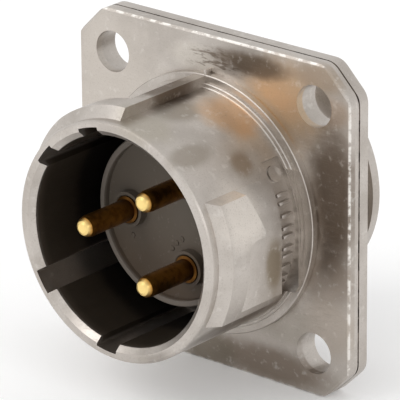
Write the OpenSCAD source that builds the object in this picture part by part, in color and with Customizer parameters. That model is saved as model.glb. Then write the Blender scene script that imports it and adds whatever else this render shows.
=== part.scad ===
/* [Flange] */
// Side of the square flange
flange_w = 24.5; // [24:0.1:26]
// Thickness of the flange
flange_t = 2.0; // [1.6:0.1:2.4]
// Length cut off each side at a corner
flange_cut = 2.2; // [1.2:0.1:2.6]
// Blend radius where a corner cut meets a side
flange_blend = 1.4; // [0.6:0.1:1.6]
// Bevel round the flange's front edge
flange_bevel = 0.15; // [0.1:0.05:0.4]
// Distance between mounting holes, both ways
hole_pitch = 18.26; // [18:0.01:18.6]
// Diameter of a mounting hole
hole_d = 3.05; // [2.6:0.05:3.3]

/* [Barrel] */
// Length of the barrel in front of the flange
barrel_len = 10.4; // [9.8:0.1:12]
// Outer diameter of the barrel
barrel_d = 17.4; // [17.2:0.1:17.8]
// Diameter of the bore that takes the plug
bore_d = 15.26; // [15:0.02:15.5]
// Wall left between the bore's floor and the flange's front
floor_h = 1.1; // [0.8:0.1:1.4]
// Width of a keyway
key_w = 1.75; // [1.4:0.05:2.1]
// Diameter across the bottoms of the keyways
key_d = 16.5; // [16:0.1:16.7]
// Directions of the four keyways round the bore
key_angles = [106.5, 141.5, -146, -96.5];

/* [Bayonet lobes] */
// Outer diameter across the lobes
lobe_d = 19.0; // [18.6:0.1:19.4]
// Height of the wall at a side lobe's edge, half its width
lobe_half = 4.35; // [4:0.05:4.5]
// Slope of a lobe's side walls
lobe_draft = 8; // [0:1:10]
// Distance from the rim back to the lobe's full height
lobe_set = 1.3; // [1.1:0.1:1.6]
// Distance from the rim back to the locking seat
seat_back = 3.05; // [2.8:0.05:3.4]
// Distance from the rim back to the crest of the cam
crest_back = 4.9; // [4.6:0.1:5.2]
// Slope of the cam that pulls the plug in
cam_slope = 19; // [12:1:24]

/* [Rear body] */
// Length of the body behind the flange
rear_len = 6.6; // [6.2:0.1:8]
// Outer diameter of the neck
neck_d = 14.6; // [14.5:0.1:15]
// Diameter of the end collar
collar_d = 16.6; // [16.2:0.1:17]
// Length of the end collar
collar_len = 0.95; // [0.9:0.05:1.2]
// Diameter of the rear bore that takes the insert
rear_bore_d = 13.5; // [13.4:0.05:13.6]

/* [Contacts] */
// Diameter of the contact pins
pin_d = 1.57; // [1.5:0.01:1.65]
// Radius of the circle the contacts stand on
contact_circle_r = 3.6; // [3.4:0.05:3.8]
// Directions of the contacts
contact_angles = [180, 60, -60];
// How far the pins stop short of the rim
pin_back = 0.65; // [0.4:0.05:1]

/* [Hidden] */
$fn = 96;
over = 1;

nickel = [0.75, 0.72, 0.69];
moulding = [0.33, 0.30, 0.27];
gold = [0.80, 0.55, 0.16];
spring_steel = [0.62, 0.62, 0.62];

// Heights are measured forward from the flange's mounting face.
rim_h = flange_t + barrel_len;
floor_top = flange_t + floor_h;
barrel_r = barrel_d / 2;
bore_r = bore_d / 2;
lobe_r = lobe_d / 2;
bore_lead = 0.4;
rim_round = 0.2;
rim_knee = 0.06;
collar_bevel = 0.2;
key_block = 3;

// Flats that form each blend of the flange's outline.
blend_steps = 5;

// A stepped foot carries the barrel on the flange.
foot_h = 0.65;
foot_root_h = 0.1;
foot_r = lobe_r + 0.05;
foot_bevel = 0.06;
step_h = 0.88;
step_r = barrel_r + 0.34;
fillet_h = 1.05;
fillet_r = barrel_r + 0.13;

// The die's two halves meet in a shallow seam round the flange's edge.
seam_h = 0.89;
seam_w = 0.14;
seam_depth = 0.12;

// The lobe's front face slopes from the barrel up to full height.
lobe_front_h = rim_h - lobe_set;
lobe_slope_len = 0.55;
lobe_sink = 0.3;
lobe_turns = [-30, 90, 210];
path_skin = 0.02;
seat_h = rim_h - seat_back;
crest_h = rim_h - crest_back;
seat_corner_r = 1.1;
seat_from = 4;
seat_flat_at = 30;
seat_to = 31.5;
crest_at = 41;
cam_start = 0.3;
cam_len = 4.5;
cam_depth = 3;
way_in_to = 64;

// The corner lobes fall away at one end on a tighter curve, whose bulge crosses the lobe cleanly.
fall_from = 123;
fall_r = 6.5;
fall_bulge = 0.02;

// The label band is a shallow pocket round one side of the barrel.
band_from = -36;
band_to = 38;
band_low = flange_t + 1.15;
band_high = flange_t + 2.95;
band_depth = 0.3;

// A lip inside the shell stops the insert, and a snap ring holds it from behind.
rear_bore_r = rear_bore_d / 2;
insert_fit = 0.05;
insert_r = rear_bore_r - insert_fit;
insert_bevel = 0.2;
insert_sink = 0.8;
nose_r = 6.3;
nose_fit = 0.08;
lip_r = nose_r + nose_fit;
key_rib_w = 1.2;
key_rib_in = 0.3;
key_rib_sink = 0.2;
key_rib_len = 4;
key_slot_gap = 0.08;
groove_d = 14.4;
ring_t = 0.45;
groove_w = 0.5;
insert_rear = -(rear_len - insert_sink);
ring_ear_sink = 0.2;
ring_fit = 0.05;
ring_ear_r = 0.75;
ring_ear_hole_r = 0.35;
ring_ear_at = 12;
ring_in_r = 6.1;
ring_out_r = groove_d / 2 - ring_fit;

// The insert's front face has a raised edge and a boss round each contact.
face_h = flange_t + 4.35;
edge_h = flange_t + 4.8;
edge_w = 0.42;
edge_bevel = 0.08;
edge_draft = 0.06;
boss_h = flange_t + 5;
boss_r = 1.3;

// A contact is turned in one piece, with a rolled spring clip behind its shoulder.
// Its thicker root fills the insert's hole and ends just in front of the boss.
pin_r = pin_d / 2;
pin_root_r = pin_r + 0.2;
pin_root_h = boss_h + 0.05;
pin_root_bevel = 0.05;
pin_tip_h = rim_h - pin_back;
// The tip's rounding: shares of the pin's radius and distances from the tip.
pin_tip_form = [[1, 0.75], [0.89, 0.36], [0.66, 0.1], [0.42, 0]];
contact_shoulder_h = flange_t + 2.1;
contact_shoulder_r = 1.2;
contact_shoulder_len = 0.8;
contact_waist_r = 0.97;
crimp_r = 1.3;
crimp_bevel = 0.1;
crimp_front_h = 0.3;
crimp_rear_h = -5.4;
wire_r = 0.9;
wire_depth = 3.8;
sight_r = 0.35;
sight_back = 0.5;
pin_hole_r = pin_root_r + 0.03;
pin_lead_r = 0.08;
pin_lead_h = 0.06;
shoulder_hole_r = contact_shoulder_r + 0.06;
clip_chamber_r = 1.6;
clip_chamber_low = 0.5;
clip_chamber_high = 2.6;
entry_r = crimp_r + 0.1;
entry_lead = 0.2;
clip_in_r = 1.0;
clip_t = 0.17;
clip_split = 20;
clip_high = 3.15;
clip_sleeve_low = 1.9;
tine_low = 0.55;
tine_flare = 0.32;
tine_angle = 50;
tine_count = 4;
tine_first = 45;

// Turns the forward axis of a sub-part into the direction of the mating plug.
module facing_forward() {
    rotate([90, 0, 0]) children();
}

module at_contact(index) {
    rotate([0, 0, contact_angles[index]]) translate([contact_circle_r, 0, 0]) children();
}

// A ring sector between two radii and two heights.
module sector(r_in, r_out, low, high, from, to) {
    rotate([0, 0, from])
        translate([0, 0, low])
            rotate_extrude(angle = to - from)
                translate([r_in, 0]) square([r_out - r_in, high - low]);
}

// Half the distance between opposite corner cuts.
function cut_half(half) = half * sqrt(2) - flange_cut / sqrt(2);

function turned(point, angle) = [
    point.x * cos(angle) - point.y * sin(angle),
    point.x * sin(angle) + point.y * cos(angle)
];

// The square with cut corners: each quarter has two blends with the corner cut between them.
module flange_outline(half) {
    inner = half - flange_blend;
    long = half - flange_cut - flange_blend * tan(22.5);
    blend_centres = [[inner, long], [long, inner]];
    polygon([
        for (quarter = [0 : 3], corner = [0, 1], step = [0 : blend_steps])
            let (angle = 45 * (corner + step / blend_steps))
                turned(blend_centres[corner] + flange_blend * [cos(angle), sin(angle)], 90 * quarter)
    ]);
}

// Blocks that trim the flange's front edge all round.
module edge_bevels() {
    for (side = [0 : 7]) {
        reach = side % 2 == 0 ? flange_w / 2 : cut_half(flange_w / 2);
        rotate([0, 0, 45 * side])
            translate([reach, 0, flange_t])
                rotate([0, -45, 0])
                    translate([-flange_bevel / sqrt(2), -flange_w / 2, -over])
                        cube([2 * over, flange_w, 2 * over]);
    }
}

module flange_plate() {
    difference() {
        union() {
            linear_extrude(flange_t) flange_outline(flange_w / 2 - seam_depth);
            linear_extrude(seam_h) flange_outline(flange_w / 2);
            translate([0, 0, seam_h + seam_w])
                linear_extrude(flange_t - seam_h - seam_w) flange_outline(flange_w / 2);
        }
        edge_bevels();
    }
}

// Outer form of the neck, foot and barrel, turned round the axis.
module barrel_form() {
    rotate_extrude()
        polygon([
            [0, -rear_len],
            [collar_d / 2 - collar_bevel, -rear_len],
            [collar_d / 2, -rear_len + collar_bevel],
            [collar_d / 2, -rear_len + collar_len],
            [neck_d / 2, -rear_len + collar_len],
            [neck_d / 2, foot_root_h],
            [foot_r, foot_root_h],
            [foot_r, flange_t + foot_h - foot_bevel],
            [foot_r - foot_bevel, flange_t + foot_h],
            [step_r, flange_t + foot_h],
            [step_r, flange_t + step_h - foot_bevel],
            [step_r - foot_bevel, flange_t + step_h],
            [fillet_r, flange_t + step_h],
            [fillet_r, flange_t + fillet_h - foot_bevel],
            [fillet_r - foot_bevel, flange_t + fillet_h],
            [barrel_r, flange_t + fillet_h],
            [barrel_r, rim_h - rim_round],
            [barrel_r - rim_knee, rim_h - rim_knee],
            [barrel_r - rim_round, rim_h],
            [0, rim_h]
        ]);
}

// A full ring with the lobes' cross-section, its inner part sunk in the barrel.
module lobe_ring() {
    sunk_r = barrel_r - lobe_sink;
    slope = lobe_slope_len / (lobe_r - barrel_r);
    rotate_extrude()
        polygon([
            [sunk_r, flange_t - lobe_sink],
            [lobe_r, flange_t - lobe_sink],
            [lobe_r, lobe_front_h],
            [sunk_r, lobe_front_h + slope * (lobe_r - sunk_r)]
        ]);
}

// The die's slides pull sideways, so a lobe's walls run along the pull or lie in the seam.
module side_lobe_block() {
    difference() {
        translate([barrel_r / 2, -lobe_r, 0]) cube([lobe_r, 2 * lobe_r, rim_h]);
        for (side = [-1, 1])
            translate([barrel_r, side * lobe_half, -over])
                rotate([0, 0, -side * lobe_draft])
                    translate([-lobe_r, side > 0 ? 0 : -2 * lobe_r, 0])
                        cube([3 * lobe_r, 2 * lobe_r, rim_h + 2 * over]);
    }
}

module corner_lobe_block() {
    translate([-lobe_r - over, lobe_half, 0]) cube([lobe_r + over, lobe_r, rim_h]);
}

// What a lug path leaves standing: the foot's steps and the barrel, and a flat that
// carries on from the seat's floor until it runs out at the lobe's full height.
module path_core() {
    rotate_extrude()
        polygon([
            [0, 0],
            [step_r + path_skin, 0],
            [step_r + path_skin, flange_t + step_h + path_skin],
            [fillet_r + path_skin, flange_t + step_h + path_skin],
            [fillet_r + path_skin, flange_t + fillet_h + path_skin],
            [barrel_r + path_skin, flange_t + fillet_h + path_skin],
            [barrel_r + path_skin, rim_h],
            [0, rim_h]
        ]);
    rotate([0, 0, seat_flat_at])
        translate([0, -lobe_r, 0]) cube([barrel_r, lobe_r, rim_h]);
}

// Frees the plug ring's lug: a way in, a sloping cam, a crest and a rounded locking seat.
module lug_path(turn) {
    in_r = barrel_r - over;
    out_r = lobe_r + over;
    seat_side_h = seat_h - seat_corner_r;
    low = flange_t + foot_h + path_skin;
    rotate([0, 0, turn])
        difference() {
            union() {
                sector(in_r, out_r, low, crest_h, seat_from, way_in_to);
                sector(in_r, out_r, low, seat_h, seat_from, seat_to);
                rotate([0, 0, seat_to])
                    translate([in_r, 0, 0]) {
                        translate([0, -seat_corner_r / 2, low])
                            cube([out_r - in_r, 1.5 * seat_corner_r, seat_side_h - low]);
                        translate([0, 0, seat_side_h])
                            rotate([0, 90, 0]) cylinder(r = seat_corner_r, h = out_r - in_r);
                    }
                rotate([0, 0, crest_at])
                    translate([in_r, 0, crest_h])
                        rotate([cam_slope, 0, 0])
                            translate([0, -cam_start, -cam_depth])
                                cube([out_r - in_r, cam_start + cam_len, cam_depth]);
            }
            path_core();
        }
}

// Trims a corner lobe beyond the given direction down to the tighter curve.
module lobe_fall(turn) {
    rotate([0, 0, turn])
        difference() {
            translate([0, 0, -over]) cube([lobe_r + over, lobe_r + over, rim_h + 2 * over]);
            translate([lobe_r + fall_bulge - fall_r, 0, -2 * over])
                cylinder(r = fall_r, h = rim_h + 4 * over);
        }
}

module lobes() {
    intersection() {
        lobe_ring();
        side_lobe_block();
    }
    difference() {
        intersection() {
            lobe_ring();
            corner_lobe_block();
        }
        lobe_fall(fall_from);
    }
    difference() {
        intersection() {
            lobe_ring();
            mirror([0, 1, 0]) corner_lobe_block();
        }
        lobe_fall(fall_from + 120);
    }
}

module keyways() {
    for (angle = key_angles)
        intersection() {
            cylinder(r = key_d / 2, h = rim_h + over);
            rotate([0, 0, angle])
                translate([bore_r - key_block / 2, -key_w / 2, floor_top])
                    cube([key_block, key_w, rim_h]);
        }
}

// Plug bore, lip and rear bore, turned round the axis, with the snap ring's groove.
module bore_form() {
    rotate_extrude()
        polygon([
            [0, -rear_len - over],
            [rear_bore_r, -rear_len - over],
            [rear_bore_r, insert_rear - groove_w],
            [groove_d / 2, insert_rear - groove_w],
            [groove_d / 2, insert_rear],
            [rear_bore_r, insert_rear],
            [rear_bore_r, flange_t],
            [lip_r, flange_t],
            [lip_r, floor_top],
            [bore_r, floor_top],
            [bore_r, rim_h - bore_lead],
            [bore_r + bore_lead, rim_h],
            [bore_r + bore_lead, rim_h + over],
            [0, rim_h + over]
        ]);
}

module mounting_holes() {
    for (x = [-1, 1], y = [-1, 1])
        translate([x * hole_pitch / 2, y * hole_pitch / 2, -over])
            cylinder(d = hole_d, h = flange_t + 2 * over);
}

module insert_key_rib() {
    translate([rear_bore_r - key_rib_in, -key_rib_w / 2, flange_t - key_rib_len])
        cube([key_rib_in + key_rib_sink, key_rib_w, key_rib_len]);
}

module shell() {
    color(nickel)
        facing_forward() {
            difference() {
                union() {
                    flange_plate();
                    barrel_form();
                    lobes();
                }
                for (turn = lobe_turns)
                    lug_path(turn);
                bore_form();
                keyways();
                mounting_holes();
                sector(barrel_r - band_depth, lobe_r + over, band_low, band_high, band_from, band_to);
            }
            insert_key_rib();
        }
}

// The one-piece moulding that carries the contacts.
module insert() {
    color(moulding)
        facing_forward()
            difference() {
                union() {
                    rotate_extrude()
                        polygon([
                            [0, insert_rear],
                            [insert_r - insert_bevel, insert_rear],
                            [insert_r, insert_rear + insert_bevel],
                            [insert_r, flange_t],
                            [nose_r, flange_t],
                            [nose_r, edge_h - edge_bevel],
                            [nose_r - edge_bevel, edge_h],
                            [nose_r - edge_w, edge_h],
                            [nose_r - edge_w - edge_draft, face_h],
                            [0, face_h]
                        ]);
                    for (index = [0 : 2])
                        at_contact(index) cylinder(r = boss_r, h = boss_h);
                }
                for (index = [0 : 2])
                    at_contact(index) contact_cavity();
                translate([insert_r - key_rib_in, -key_rib_w / 2 - key_slot_gap,
                        flange_t - key_rib_len - key_slot_gap])
                    cube([key_rib_in + over, key_rib_w + 2 * key_slot_gap, key_rib_len + over]);
            }
}

// Stepped hole for one contact: pin hole, shoulder seat, clip chamber and rear entry.
module contact_cavity() {
    rotate_extrude()
        polygon([
            [0, insert_rear - over],
            [entry_r + entry_lead, insert_rear - over],
            [entry_r + entry_lead, insert_rear],
            [entry_r, insert_rear + entry_lead],
            [entry_r, clip_chamber_low],
            [clip_chamber_r, clip_chamber_low],
            [clip_chamber_r, clip_chamber_high],
            [shoulder_hole_r, clip_chamber_high],
            [shoulder_hole_r, contact_shoulder_h],
            [pin_hole_r, contact_shoulder_h],
            [pin_hole_r, boss_h - pin_lead_h],
            [pin_hole_r + pin_lead_r, boss_h],
            [pin_hole_r + pin_lead_r, boss_h + over],
            [0, boss_h + over]
        ]);
}

module contact(index) {
    shoulder_low = contact_shoulder_h - contact_shoulder_len;
    color(gold)
        facing_forward()
            at_contact(index)
                difference() {
                    rotate_extrude()
                        polygon([
                            [0, crimp_rear_h],
                            [crimp_r - crimp_bevel, crimp_rear_h],
                            [crimp_r, crimp_rear_h + crimp_bevel],
                            [crimp_r, crimp_front_h],
                            [contact_waist_r, crimp_front_h],
                            [contact_waist_r, shoulder_low],
                            [contact_shoulder_r, shoulder_low],
                            [contact_shoulder_r, contact_shoulder_h],
                            [pin_root_r, contact_shoulder_h],
                            [pin_root_r, pin_root_h],
                            [pin_r, pin_root_h + pin_root_bevel],
                            for (point = pin_tip_form) [point.x * pin_r, pin_tip_h - point.y],
                            [0, pin_tip_h]
                        ]);
                    translate([0, 0, crimp_rear_h - over]) cylinder(r = wire_r, h = wire_depth + over);
                    translate([0, 0, crimp_rear_h + wire_depth - sight_back])
                        rotate([0, 90, 0]) cylinder(r = sight_r, h = crimp_r + over);
                }
}

// A rolled sleeve, split down one side, with tines that spring out behind the insert's step.
module contact_clip(index) {
    color(spring_steel)
        facing_forward()
            at_contact(index) {
                sector(clip_in_r, clip_in_r + clip_t, clip_sleeve_low, clip_high, clip_split, 360 - clip_split);
                for (tine = [0 : tine_count - 1])
                    rotate([0, 0, tine_first + 360 / tine_count * tine - tine_angle / 2])
                        rotate_extrude(angle = tine_angle)
                            polygon([
                                [clip_in_r, clip_sleeve_low],
                                [clip_in_r + clip_t, clip_sleeve_low],
                                [clip_in_r + clip_t + tine_flare, tine_low],
                                [clip_in_r + tine_flare, tine_low]
                            ]);
            }
}

// An open snap ring with two ears for the pliers.
module insert_retaining_ring() {
    ear_centre = ring_in_r - ring_ear_sink;
    color(spring_steel)
        facing_forward()
            translate([0, 0, insert_rear - ring_t])
                difference() {
                    union() {
                        sector(ring_in_r, ring_out_r, 0, ring_t, ring_ear_at, 360 - ring_ear_at);
                        for (side = [-1, 1])
                            rotate([0, 0, side * ring_ear_at])
                                translate([ear_centre, 0, 0]) cylinder(r = ring_ear_r, h = ring_t);
                    }
                    for (side = [-1, 1])
                        rotate([0, 0, side * ring_ear_at])
                            translate([ear_centre, 0, -over]) cylinder(r = ring_ear_hole_r, h = ring_t + 2 * over);
                }
}

shell();
insert();
contact(0);  // contact_1
contact(1);  // contact_2
contact(2);  // contact_3
contact_clip(0);  // contact_clip_1
contact_clip(1);  // contact_clip_2
contact_clip(2);  // contact_clip_3
insert_retaining_ring();
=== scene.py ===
import math

import bmesh
import bpy
from mathutils import Matrix, Vector


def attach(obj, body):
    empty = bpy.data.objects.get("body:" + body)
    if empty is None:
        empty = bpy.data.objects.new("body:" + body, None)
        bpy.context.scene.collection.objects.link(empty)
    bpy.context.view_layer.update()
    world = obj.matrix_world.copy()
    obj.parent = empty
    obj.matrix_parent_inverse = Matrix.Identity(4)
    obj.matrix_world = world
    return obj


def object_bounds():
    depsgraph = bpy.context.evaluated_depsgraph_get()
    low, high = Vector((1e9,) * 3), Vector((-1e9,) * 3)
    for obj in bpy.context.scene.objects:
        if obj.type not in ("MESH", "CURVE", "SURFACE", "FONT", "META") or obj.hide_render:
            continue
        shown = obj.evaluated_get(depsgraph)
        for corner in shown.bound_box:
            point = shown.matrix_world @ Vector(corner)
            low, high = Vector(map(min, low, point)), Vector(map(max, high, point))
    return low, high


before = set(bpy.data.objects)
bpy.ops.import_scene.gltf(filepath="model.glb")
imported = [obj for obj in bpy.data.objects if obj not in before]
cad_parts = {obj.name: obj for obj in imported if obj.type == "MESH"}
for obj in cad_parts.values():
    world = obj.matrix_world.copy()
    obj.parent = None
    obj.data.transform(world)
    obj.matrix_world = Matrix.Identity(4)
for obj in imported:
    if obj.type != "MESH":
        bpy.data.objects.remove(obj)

cadBox = [list(corner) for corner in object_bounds()]
print("frame loaded", cadBox)

mm = 0.001


def setCamera():
    view = {
        "place": (0.190463, -0.227409, 0.113097),
        "azimuth": 40.290, "elevation": 21.006, "roll": -0.426,  # degrees
        "lens": 405.79, "shift": (-0.0140, 0.0106),
    }
    camera = bpy.data.objects.new("camera", bpy.data.cameras.new("camera"))
    bpy.context.scene.collection.objects.link(camera)
    camera.data.lens = view["lens"]
    camera.data.shift_x, camera.data.shift_y = view["shift"]
    camera.data.clip_start, camera.data.clip_end = 0.01, 20
    camera.matrix_world = (
        Matrix.Translation(view["place"])
        @ Matrix.Rotation(math.radians(view["azimuth"]), 4, "Z")
        @ Matrix.Rotation(math.radians(90 - view["elevation"]), 4, "X")
        @ Matrix.Rotation(math.radians(view["roll"]), 4, "Z"))
    bpy.context.scene.camera = camera


def addLamp(name, direction, distance, size, power):
    lamp = bpy.data.objects.new(name, bpy.data.lights.new(name, "AREA"))
    bpy.context.scene.collection.objects.link(lamp)
    lamp.data.shape = "DISK"
    lamp.data.size = size
    lamp.data.energy = power
    towards = Vector(direction).normalized()
    lamp.location = towards * distance
    lamp.rotation_mode = "QUATERNION"
    lamp.rotation_quaternion = towards.to_track_quat("Z", "Y")


class Wire:  # a node's output as a number that takes part in sums
    def __init__(self, finish, socket):
        self.finish, self.socket = finish, socket

    def also(self, out):  # another output of the same node
        return Wire(self.finish, self.socket.node.outputs[out])

    def join(self, operation, first, second=0.0):
        return self.finish.node("ShaderNodeMath", {"operation": operation}, {0: first, 1: second})

    def __add__(self, other):
        return self.join("ADD", self, other)

    def __sub__(self, other):
        return self.join("SUBTRACT", self, other)

    def __rsub__(self, other):
        return self.join("SUBTRACT", other, self)

    def __mul__(self, other):
        return self.join("MULTIPLY", self, other)

    def __truediv__(self, other):
        return self.join("DIVIDE", self, other)

    def __pow__(self, other):
        return self.join("POWER", self, other)

    def __abs__(self):
        return self.join("ABSOLUTE", self)

    __radd__ = __add__
    __rmul__ = __mul__


class Finish:  # one material and the ways to draw on it, in millimetres
    def __init__(self, name, metallic, **fixed):
        self.material = bpy.data.materials.new(name)
        self.material.use_nodes = True
        self.tree = self.material.node_tree
        self.tree.nodes.clear()
        self.place = self.node("ShaderNodeTexCoord", {}, {}, "Object")
        split = self.node("ShaderNodeSeparateXYZ", {}, {"Vector": self.place}, "X")
        self.x, self.z = split * 1000, split.also("Z") * 1000
        self.height = split.also("Y") * -1000  # forward from the mounting face
        self.radius = (self.x * self.x + self.z * self.z) ** 0.5
        self.angle = self.x.join("ARCTAN2", self.z, self.x) * (180 / math.pi)
        self.shader = self.node("ShaderNodeBsdfPrincipled", {}, {"Metallic": metallic, **fixed}, "BSDF")
        self.node("ShaderNodeOutputMaterial", {}, {"Surface": self.shader}, None)

    def node(self, kind, settings, sockets, out=0):
        made = self.tree.nodes.new(kind)
        for key, value in settings.items():
            setattr(made, key, value)
        for key, value in sockets.items():
            if isinstance(value, Wire):
                self.tree.links.new(value.socket, made.inputs[key])
            else:
                made.inputs[key].default_value = value
        return None if out is None else Wire(self, made.outputs[out])

    def feed(self, **links):  # what varies over the surface, into the shader
        for key, value in links.items():
            name = {"colour": "Base Color", "roughness": "Roughness", "normal": "Normal",
                    "glow": "Emission Color"}[key]
            self.tree.links.new(value.socket, self.shader.socket.node.inputs[name])

    def ease(self, value, low, high, start=0, end=1):  # smooth step from start at low to end at high
        return self.node("ShaderNodeMapRange", {"interpolation_type": "SMOOTHSTEP"},
                         {"Value": value, "From Min": low, "From Max": high, "To Min": start, "To Max": end})

    def fall(self, value, low, high):  # smooth step from 1 at low to 0 at high
        return self.ease(value, low, high, 1, 0)

    def band(self, value, low, high, soft):  # 1 between low and high
        return self.ease(value, low - soft, low + soft) * self.fall(value, high - soft, high + soft)

    def noise(self, scale, detail=2.0, roughness=0.5, stretch=(1, 1, 1), turn=(0, 0, 0)):
        mapped = self.node("ShaderNodeMapping", {}, {"Vector": self.place, "Scale": stretch, "Rotation": turn})
        return self.node("ShaderNodeTexNoise", {}, {"Vector": mapped, "Scale": scale, "Detail": detail,
                                                    "Roughness": roughness}, "Fac")

    def spot(self, across, along, centre, spread, ragged):  # a soft patch with an uneven edge
        first, second = (across - centre[0]) / spread[0], (along - centre[1]) / spread[1]
        return self.fall((first * first + second * second) ** 0.5 + ragged, 0.45, 1.15)

    def mix(self, factor, first, second):
        return self.node("ShaderNodeMix", {"data_type": "RGBA"}, {0: factor, 6: first, 7: second}, 2)

    def bump(self, height, distance, strength=1.0):
        return self.node("ShaderNodeBump", {}, {"Height": height, "Distance": distance, "Strength": strength},
                         "Normal")


def paint(red, green, blue):  # screen values to a linear colour
    return tuple(((v / 255 + 0.055) / 1.055) ** 2.4 for v in (red, green, blue)) + (1,)


def castNickel():
    look = {
        "plate": (196, 189, 182), "dull": (140, 130, 119), "bright": (236, 232, 226), "pit": (84, 74, 64),
        # painted reflections and shade: lighter and darker patches on the flange's front where the nickel mirrors
        # its surroundings
        "flangeReflectionsAndShade": [  # centre x, z and spread in mm, colour, strength
            ((-9.0, 4.0), (6.0, 11.0), (198, 190, 181), 0.8),
            ((-2.0, 10.4), (2.4, 1.2), (206, 199, 190), 0.8),
            ((6.3, 8.6), (4.2, 3.4), (194, 170, 142), 0.9),
            ((3.6, 10.9), (3.6, 1.0), (120, 106, 92), 0.95),
            ((9.6, 11.2), (2.6, 1.2), (168, 152, 135), 0.8),
            ((10.9, 9.0), (1.3, 1.2), (184, 165, 148), 0.7),
            ((10.8, 2.2), (2.4, 6.2), (120, 107, 95), 0.95),
            ((10.4, -3.6), (2.6, 2.4), (150, 137, 125), 0.7),
            ((10.4, -7.0), (2.8, 2.6), (178, 167, 156), 0.8),
            ((6.4, -7.4), (3.4, 2.0), (168, 160, 150), 0.7),
            ((5.6, -11.0), (6.4, 1.7), (136, 123, 111), 0.9),
            ((-0.6, -11.2), (3.0, 1.8), (128, 119, 106), 0.8),
        ],
        # painted highlight, reflections and shade: lighter and darker patches on the barrel where the nickel mirrors
        # its surroundings
        "barrelReflectionsAndShade": [  # centre angle, height and spread in degrees and mm, colour, strength
            ((96.0, 6.0), (14.0, 2.6), (112, 99, 87), 0.9),
            ((80.0, 7.4), (10.0, 2.2), (152, 143, 131), 0.85),
            ((78.0, 11.0), (16.0, 2.2), (174, 166, 152), 0.7),
            ((66.0, 4.2), (16.0, 2.4), (206, 176, 146), 0.95),
            ((54.0, 10.2), (7.0, 2.4), (158, 149, 138), 0.8),
            ((41.0, 6.6), (8.0, 1.3), (150, 134, 116), 0.9),
            ((20.0, 9.2), (17.0, 2.8), (220, 212, 203), 0.9),
            ((-8.0, 9.6), (13.0, 2.4), (200, 193, 186), 0.7),
            ((-10.0, 5.8), (15.0, 1.1), (144, 131, 112), 0.9),
            ((-36.0, 5.4), (15.0, 3.4), (124, 111, 99), 0.9),
            ((-44.0, 9.2), (10.0, 3.0), (128, 118, 108), 0.9),
            ((-66.0, 8.0), (18.0, 6.0), (130, 122, 114), 0.8),
        ],
        "flange": 2.1, "side": 12.25, "seam": 0.96,  # heights and reach in mm
        "boreRadius": 7.95, "boreFloor": 3.2, "rim": 12.4,
        "boreBrown": (70, 61, 50), "boreDark": (34, 27, 22), "boreEdge": (104, 94, 83),
        "boreTurn": (7.0, 8.2), "boreLip": (11.0, 12.0),  # heights where the bore's shade changes
        "streakCentre": (0.8, 10.4), "streakSpread": (3.4, 1.1), "streakTone": (112, 98, 84),
        "clouding": 0.3, "pores": 0.28, "points": 0.28, "streaks": 0.75,  # strengths, 0 to 1
        "edgeHighlight": 0.9, "seamPits": 0.85, "boreShade": 0.96, "lipShade": 0.8,
        "rough": 0.3, "roughMottle": 0.16, "roughBore": 0.2, "scratches": -0.4, "relief": 0.012 * mm,
    }
    metal = Finish("castNickel", 1.0)
    cloud, mottle, speckle = metal.noise(260, 3, 0.55), metal.noise(1500, 3, 0.6), metal.noise(9000, 2, 0.6)
    ragged = (cloud - 0.5) * 0.9 + (mottle - 0.5) * 0.25
    colour = metal.mix(metal.ease(cloud, 0.4, 0.68) * look["clouding"], paint(*look["plate"]), paint(*look["dull"]))
    inBore = metal.fall(metal.radius, look["boreRadius"], look["boreRadius"] + 0.35)
    onFlange = metal.band(metal.height, 1.4, look["flange"] + 0.05, 0.1)
    onBarrel = metal.ease(metal.height, look["flange"] + 0.7, look["flange"] + 1.1) * (1 - inBore)
    # paint the reflections and shade onto the flange's front
    for centre, spread, tone, strength in look["flangeReflectionsAndShade"]:
        patch = metal.spot(metal.x, metal.z, centre, spread, ragged)
        colour = metal.mix(patch * onFlange * strength, colour, paint(*tone))
    # paint the highlight, reflections and shade onto the barrel
    for centre, spread, tone, strength in look["barrelReflectionsAndShade"]:
        patch = metal.spot(metal.angle, metal.height, centre, spread, ragged)
        colour = metal.mix(patch * onBarrel * strength, colour, paint(*tone))

    # feathery dark streaks near the top of the flange's front
    feather = metal.noise(700, 3, 0.7, (1, 1, 5), (0, 0.5, 0))
    streak = metal.ease(feather, 0.5, 0.62) * metal.spot(
        metal.x, metal.z, look["streakCentre"], look["streakSpread"], ragged)
    colour = metal.mix(streak * onFlange * look["streaks"], colour, paint(*look["streakTone"]))

    # grain of the casting: fine dark pores and worn bright points
    colour = metal.mix(metal.ease(speckle, 0.54, 0.72) * look["pores"], colour, paint(*look["dull"]))
    colour = metal.mix(metal.ease(mottle, 0.56, 0.74) * look["points"], colour, paint(*look["bright"]))

    # the flange's edge: a painted highlight along the front and dark pits along the seam
    reach = metal.x.join("MAXIMUM", abs(metal.x), abs(metal.z))
    edge = metal.ease(reach, look["side"] - 0.2, look["side"] - 0.05) * metal.band(
        metal.height, 1.85, look["flange"], 0.05)
    colour = metal.mix(edge * metal.ease(mottle, 0.42, 0.55) * look["edgeHighlight"], colour, paint(*look["bright"]))
    seam = metal.band(metal.height, look["seam"] - 0.08, look["seam"] + 0.08, 0.04) * metal.ease(
        reach, look["side"] - 0.5, look["side"] - 0.2)
    colour = metal.mix(seam * metal.ease(mottle, 0.5, 0.58) * look["seamPits"], colour, paint(*look["pit"]))

    # the bore is shaded: brown near the rim, nearly black further in
    wall = inBore * metal.band(metal.height, look["boreFloor"] - 0.2, look["rim"] - 0.5, 0.2)
    depth = metal.ease(metal.height + (cloud - 0.5) * 1.2, *look["boreTurn"])
    shade = metal.mix(depth, paint(*look["boreDark"]), paint(*look["boreBrown"]))
    shade = metal.mix(metal.ease(metal.height, *look["boreLip"]) * look["lipShade"], shade, paint(*look["boreEdge"]))
    colour = metal.mix(wall * look["boreShade"], colour, shade)

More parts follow.
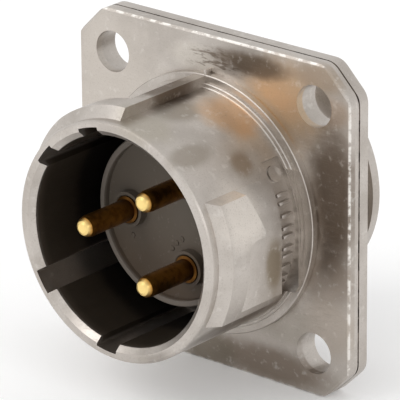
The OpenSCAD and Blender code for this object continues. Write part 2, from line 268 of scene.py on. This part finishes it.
    scratch = metal.noise(900, 1, 0.4, (1, 1, 26), (0.3, 0.5, 0.2))
    relief = speckle * 0.5 + mottle + metal.ease(scratch, 0.62, 0.7) * look["scratches"]
    metal.feed(colour=colour, normal=metal.bump(relief, look["relief"], 0.8),
               roughness=look["rough"] + mottle * look["roughMottle"] + wall * look["roughBore"])
    return metal.material


def greyMoulding():
    look = {"grey": (94, 86, 76), "edge": (128, 120, 112), "low": (84, 68, 54), "boss": (98, 90, 82)}
    resin = Finish("greyMoulding", 0.0, **{"Specular IOR Level": 0.35})
    grain, cloud = resin.noise(2600, 3, 0.6), resin.noise(300, 2, 0.5)
    colour = resin.mix(resin.ease(cloud, 0.35, 0.7) * 0.3, paint(*look["grey"]), paint(*look["boss"]))
    # painted shade: the insert face darker towards the bottom
    colour = resin.mix(resin.fall(resin.z, -5.5, 1.0) * 0.6, colour, paint(*look["low"]))
    # painted highlight: a lighter ring on the insert's raised outer edge
    colour = resin.mix(resin.ease(resin.height, 6.55, 6.75) * resin.ease(resin.radius, 5.6, 5.8) * 0.9,
                       colour, paint(*look["edge"]))
    colour = resin.mix(resin.ease(grain, 0.6, 0.72) * 0.35, colour, paint(*look["edge"]))
    resin.feed(colour=colour, roughness=0.42 + grain * 0.2, normal=resin.bump(grain, 0.012 * mm, 0.7))
    return resin.material


def goldPlate():
    look = {"gold": (196, 140, 62), "deep": (120, 76, 28), "root": (78, 52, 26), "tip": (255, 226, 150)}
    gold = Finish("goldPlate", 1.0)
    rings, wear = gold.noise(1200, 2, 0.5, (0.1, 14, 0.1)), gold.noise(1800, 2, 0.6)
    colour = gold.mix(0.35 + gold.ease(wear, 0.4, 0.7) * 0.5, paint(*look["gold"]), paint(*look["deep"]))
    # painted shade: the contacts darker at their roots near the insert face
    colour = gold.mix(gold.fall(gold.height, 7.1, 8.6) * 0.8, colour, paint(*look["root"]))
    # painted highlight on the contact tips
    colour = gold.mix(gold.ease(gold.height, 11.35, 11.75) * 0.9, colour, paint(*look["tip"]))
    gold.feed(colour=colour, roughness=0.26 + rings * 0.16,
              normal=gold.bump(rings + wear * 0.5, 0.006 * mm, 0.8))
    return gold.material


def springSteel():
    look = {"steel": (176, 174, 170), "dull": (128, 124, 118)}
    steel = Finish("springSteel", 1.0)
    grain = steel.noise(3000, 3, 0.6, (1, 6, 1))
    colour = steel.mix(steel.ease(grain, 0.4, 0.7), paint(*look["steel"]), paint(*look["dull"]))
    steel.feed(colour=colour, roughness=0.28 + grain * 0.2, normal=steel.bump(grain, 0.008 * mm, 0.7))
    return steel.material


def studioFloor():
    look = {"albedo": (0.86, 0.86, 0.86, 1), "lift": 0.13}
    white = Finish("studioFloor", 0.0, **{"Base Color": look["albedo"], "Emission Strength": look["lift"]})
    rays = white.node("ShaderNodeLightPath", {}, {}, "Is Camera Ray")
    seen = rays + rays.also("Is Glossy Ray") + rays.also("Is Transmission Ray")
    white.feed(roughness=0.85 + white.noise(30) * 0.1, glow=white.mix(seen, (0, 0, 0, 1), (1, 1, 1, 1)))
    return white.material


def dress(material, *names):
    for name in names:
        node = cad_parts[name]
        node.data.materials.clear()
        node.data.materials.append(material)


def clearSelection():
    for item in bpy.context.selected_objects:
        item.select_set(False)
    bpy.context.view_layer.objects.active = None


def choose(piece, kind, wanted):  # in edit mode, selects the edges or faces that pass the test
    bpy.ops.mesh.select_mode(type=kind)
    bpy.ops.mesh.select_all(action="DESELECT")
    shape = bmesh.from_edit_mesh(piece.data)
    for part in shape.edges if kind == "EDGE" else shape.faces:
        part.select_set(wanted(part))
    bmesh.update_edit_mesh(piece.data)


def applyPlace(piece):
    clearSelection()
    piece.select_set(True)
    bpy.context.view_layer.objects.active = piece
    bpy.ops.object.transform_apply(location=True, rotation=True, scale=True)


def copyPiece(piece):
    twin = piece.copy()
    twin.data = piece.data.copy()
    bpy.context.scene.collection.objects.link(twin)
    return twin


def standOnBarrel(piece, angle, height, radius):  # from lying along X at the origin
    turn = Matrix.Rotation(math.radians(-angle), 4, "Y")
    piece.matrix_world = turn @ Matrix.Translation((radius, -height, 0))
    applyPlace(piece)


def finishPiece(pieces, name, material):  # one mesh, smooth sides, material on, rides on the body
    clearSelection()
    for piece in pieces:
        piece.select_set(True)
    bpy.context.view_layer.objects.active = pieces[0]
    if len(pieces) > 1:
        bpy.ops.object.join()
    bpy.ops.object.shade_smooth_by_angle(angle=math.radians(35))
    piece = bpy.context.object
    piece.name = name
    piece.data.materials.clear()
    piece.data.materials.append(material)
    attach(piece, "root")


def raisedBar(size, bevel):  # a bar with rounded upper edges, its foot at x = 0
    clearSelection()
    bpy.ops.mesh.primitive_cube_add(size=1, location=(size[0] / 2, 0, 0))
    bar = bpy.context.object
    bar.scale = size
    applyPlace(bar)
    bpy.ops.object.mode_set(mode="EDIT")
    choose(bar, "EDGE", lambda edge: max(v.co.x for v in edge.verts) > size[0] / 2)
    bpy.ops.mesh.bevel(offset=bevel, segments=2, affect="EDGES")
    bpy.ops.object.mode_set(mode="OBJECT")
    return bar


def raisedButton(radius, tall, dish, bevel, sides):  # a round button, dished where dish is not 0
    clearSelection()
    bpy.ops.mesh.primitive_cylinder_add(vertices=sides, radius=radius, depth=tall,
                                        location=(tall / 2, 0, 0), rotation=(0, math.radians(90), 0))
    button = bpy.context.object
    applyPlace(button)
    bpy.ops.object.mode_set(mode="EDIT")
    choose(button, "FACE", lambda face: face.normal.x > 0.9)
    if dish:
        bpy.ops.mesh.inset(thickness=radius * 0.35)
        bpy.ops.transform.translate(value=(-dish, 0, 0))
    choose(button, "EDGE", lambda edge: all(v.co.x > tall * 0.9 and v.co.yz.length > radius * 0.9
                                            for v in edge.verts))
    bpy.ops.mesh.bevel(offset=bevel, segments=2, affect="EDGES")
    bpy.ops.object.mode_set(mode="OBJECT")
    return button


def bandMarks(material):  # plain raised bars and a dished button in the pocket round the barrel
    marks = {
        "floor": 8.38 * mm, "middle": 4.05,  # height of the pocket's middle in mm
        "bar": (0.24 * mm, 1.15 * mm, 0.26 * mm), "bevel": 0.06 * mm,
        "angles": (21, 17, 11, 5, 1, -5, -9, -15, -21, -25),
        "button": (0.62 * mm, 0.24 * mm), "dish": 0.1 * mm, "buttonAngle": 31,
    }
    first = raisedBar(marks["bar"], marks["bevel"])
    bars = [first] + [copyPiece(first) for _ in marks["angles"][1:]]
    for bar, angle in zip(bars, marks["angles"]):
        standOnBarrel(bar, angle, marks["middle"] * mm, marks["floor"])
    button = raisedButton(*marks["button"], marks["dish"], marks["bevel"], 32)
    standOnBarrel(button, marks["buttonAngle"], marks["middle"] * mm, marks["floor"])
    finishPiece(bars + [button], "band_marks", material)


def partingFlash(material):  # a spur of metal where the die halves met at the foot
    spur = {"size": (0.5 * mm, 0.62 * mm, 0.24 * mm), "angle": 90.6, "height": 2.3, "radius": 9.4 * mm,
            "bevel": 0.07 * mm}
    piece = raisedBar(spur["size"], spur["bevel"])
    standOnBarrel(piece, spur["angle"], spur["height"] * mm, spur["radius"])
    finishPiece([piece], "parting_flash", material)


def indexDots(material):  # one, two and three dots beside the contacts
    dots = {
        "radius": 0.2 * mm, "tall": 0.09 * mm, "bevel": 0.04 * mm, "face": 6.33,
        "places": ((-3.6, -2.1), (0.2, 3.3), (0.7, 2.8), (0.9, -1.3), (0.4, -1.7), (0.0, -2.2)),  # x, z
    }
    first = raisedButton(dots["radius"], dots["tall"], 0, dots["bevel"], 20)
    pieces = [first] + [copyPiece(first) for _ in dots["places"][1:]]
    for piece, (x, z) in zip(pieces, dots["places"]):
        piece.matrix_world = Matrix.Translation((x * mm, -dots["face"] * mm, z * mm)) @ Matrix.Rotation(
            math.radians(-90), 4, "Z")
        applyPlace(piece)
    finishPiece(pieces, "contact_index_dots", material)


studio = {
    "world": 0.9, "floorSize": 3, "floorGap": 0.05 * mm,
    "lamps": (  # name, direction, distance, size, power
        ("key", (-0.5, -1.0, 1.1), 0.6, 0.35, 0.9),
        ("side", (1.2, -0.35, 0.5), 0.6, 0.25, 0.35),
    ),
}
setCamera()
world = bpy.context.scene.world or bpy.data.worlds.new("studio")
bpy.context.scene.world = world
world.use_nodes = True
world.node_tree.nodes["Background"].inputs["Color"].default_value = (1, 1, 1, 1)
world.node_tree.nodes["Background"].inputs["Strength"].default_value = studio["world"]
bpy.context.scene.view_settings.view_transform = "Standard"

clearSelection()
bpy.ops.mesh.primitive_plane_add(size=studio["floorSize"], location=(0, 0, cadBox[0][2] - studio["floorGap"]))
floor = bpy.context.object
floor.name = "floor"
floor.data.materials.append(studioFloor())
for lamp in studio["lamps"]:
    addLamp(*lamp)
print("studio ready")

nickel = castNickel()
dress(nickel, "shell")
resin = greyMoulding()
dress(resin, "insert")
dress(goldPlate(), "contact_1", "contact_2", "contact_3")
dress(springSteel(), "contact_clip_1", "contact_clip_2", "contact_clip_3", "insert_retaining_ring")
print("frame dressed")

bandMarks(nickel)
partingFlash(nickel)
indexDots(resin)
print("relief and marks made")
